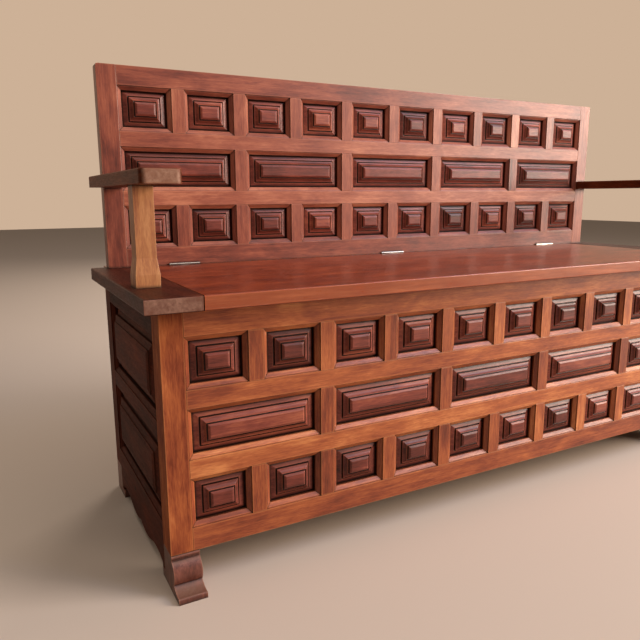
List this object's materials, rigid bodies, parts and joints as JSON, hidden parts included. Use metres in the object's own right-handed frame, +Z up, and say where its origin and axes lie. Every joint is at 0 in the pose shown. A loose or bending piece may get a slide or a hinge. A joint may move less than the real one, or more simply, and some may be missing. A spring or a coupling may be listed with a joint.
{
  "type": "settle bench",
  "caption": "Panelled wooden settle bench with a hinged seat lid over a storage chest, a panelled backrest, flat arms and small scroll feet.",
  "frame": {"origin": "bottom centre of the bounding box, on the floor midway between front and back", "axes": "+X to the sitter's left along the bench (viewer's right from the front), +Y to the back, +Z up"},
  "size_m": [1.321, 0.4536, 0.815],
  "materials": {
    "frame_wood": "dark red-brown stain under satin varnish",
    "panel_wood": "dark red-brown stain under satin varnish",
    "lid_wood": "red-brown stain under glossy varnish",
    "inner_wood": "bare sawn softwood",
    "hinge_steel": "bright rolled steel"
  },
  "bodies": {
    "chest": {"back_bottom_muntins": "frame_wood", "back_bottom_panels": "panel_wood", "back_bottom_rail": "frame_wood", "back_left_stile": "frame_wood", "back_lower_middle_rail": "frame_wood", "back_middle_muntins": "frame_wood", "back_middle_panels": "panel_wood", "back_right_stile": "frame_wood", "back_top_muntins": "frame_wood", "back_top_panels": "panel_wood", "back_top_rail": "frame_wood", "back_upper_middle_rail": "frame_wood", "chest_back_boards": "inner_wood", "chest_back_bottom_rail": "inner_wood", "chest_back_top_rail": "inner_wood", "chest_bottom_muntins": "frame_wood", "chest_bottom_panels": "panel_wood", "chest_bottom_rail": "frame_wood", "chest_lower_middle_rail": "frame_wood", "chest_middle_muntins": "frame_wood", "chest_middle_panels": "panel_wood", "chest_top_muntins": "frame_wood", "chest_top_panels": "panel_wood", "chest_top_rail": "frame_wood", "chest_upper_middle_rail": "frame_wood", "floor_bearers": "inner_wood", "floor_boards": "inner_wood", "hinge_leaves_fixed": "hinge_steel", "hinge_pins": "hinge_steel", "left_arm": "frame_wood", "left_arm_post": "frame_wood", "left_end_board": "frame_wood", "left_front_foot": "frame_wood", "left_front_post": "frame_wood", "left_rear_foot": "frame_wood", "left_rear_post": "frame_wood", "left_side_bottom_rail": "frame_wood", "left_side_lower_panel": "panel_wood", "left_side_middle_rail": "frame_wood", "left_side_top_rail": "frame_wood", "left_side_upper_panel": "panel_wood", "rear_seat_board": "frame_wood", "right_arm": "frame_wood", "right_arm_post": "frame_wood", "right_end_board": "frame_wood", "right_front_foot": "frame_wood", "right_front_post": "frame_wood", "right_rear_foot": "frame_wood", "right_rear_post": "frame_wood", "right_side_bottom_rail": "frame_wood", "right_side_lower_panel": "panel_wood", "right_side_middle_rail": "frame_wood", "right_side_top_rail": "frame_wood", "right_side_upper_panel": "panel_wood"},
    "lid": {"seat_lid": "lid_wood", "lid_battens": "inner_wood", "hinge_leaves_lid": "hinge_steel"}
  },
  "joints": [
    {"name": "lid_hinge", "type": "hinge", "parent": "chest", "child": "lid", "pos_m": [0, 0.16805, 0.4571], "axis": [-1, 0, 0], "range_deg": [0, 90]}
  ]
}
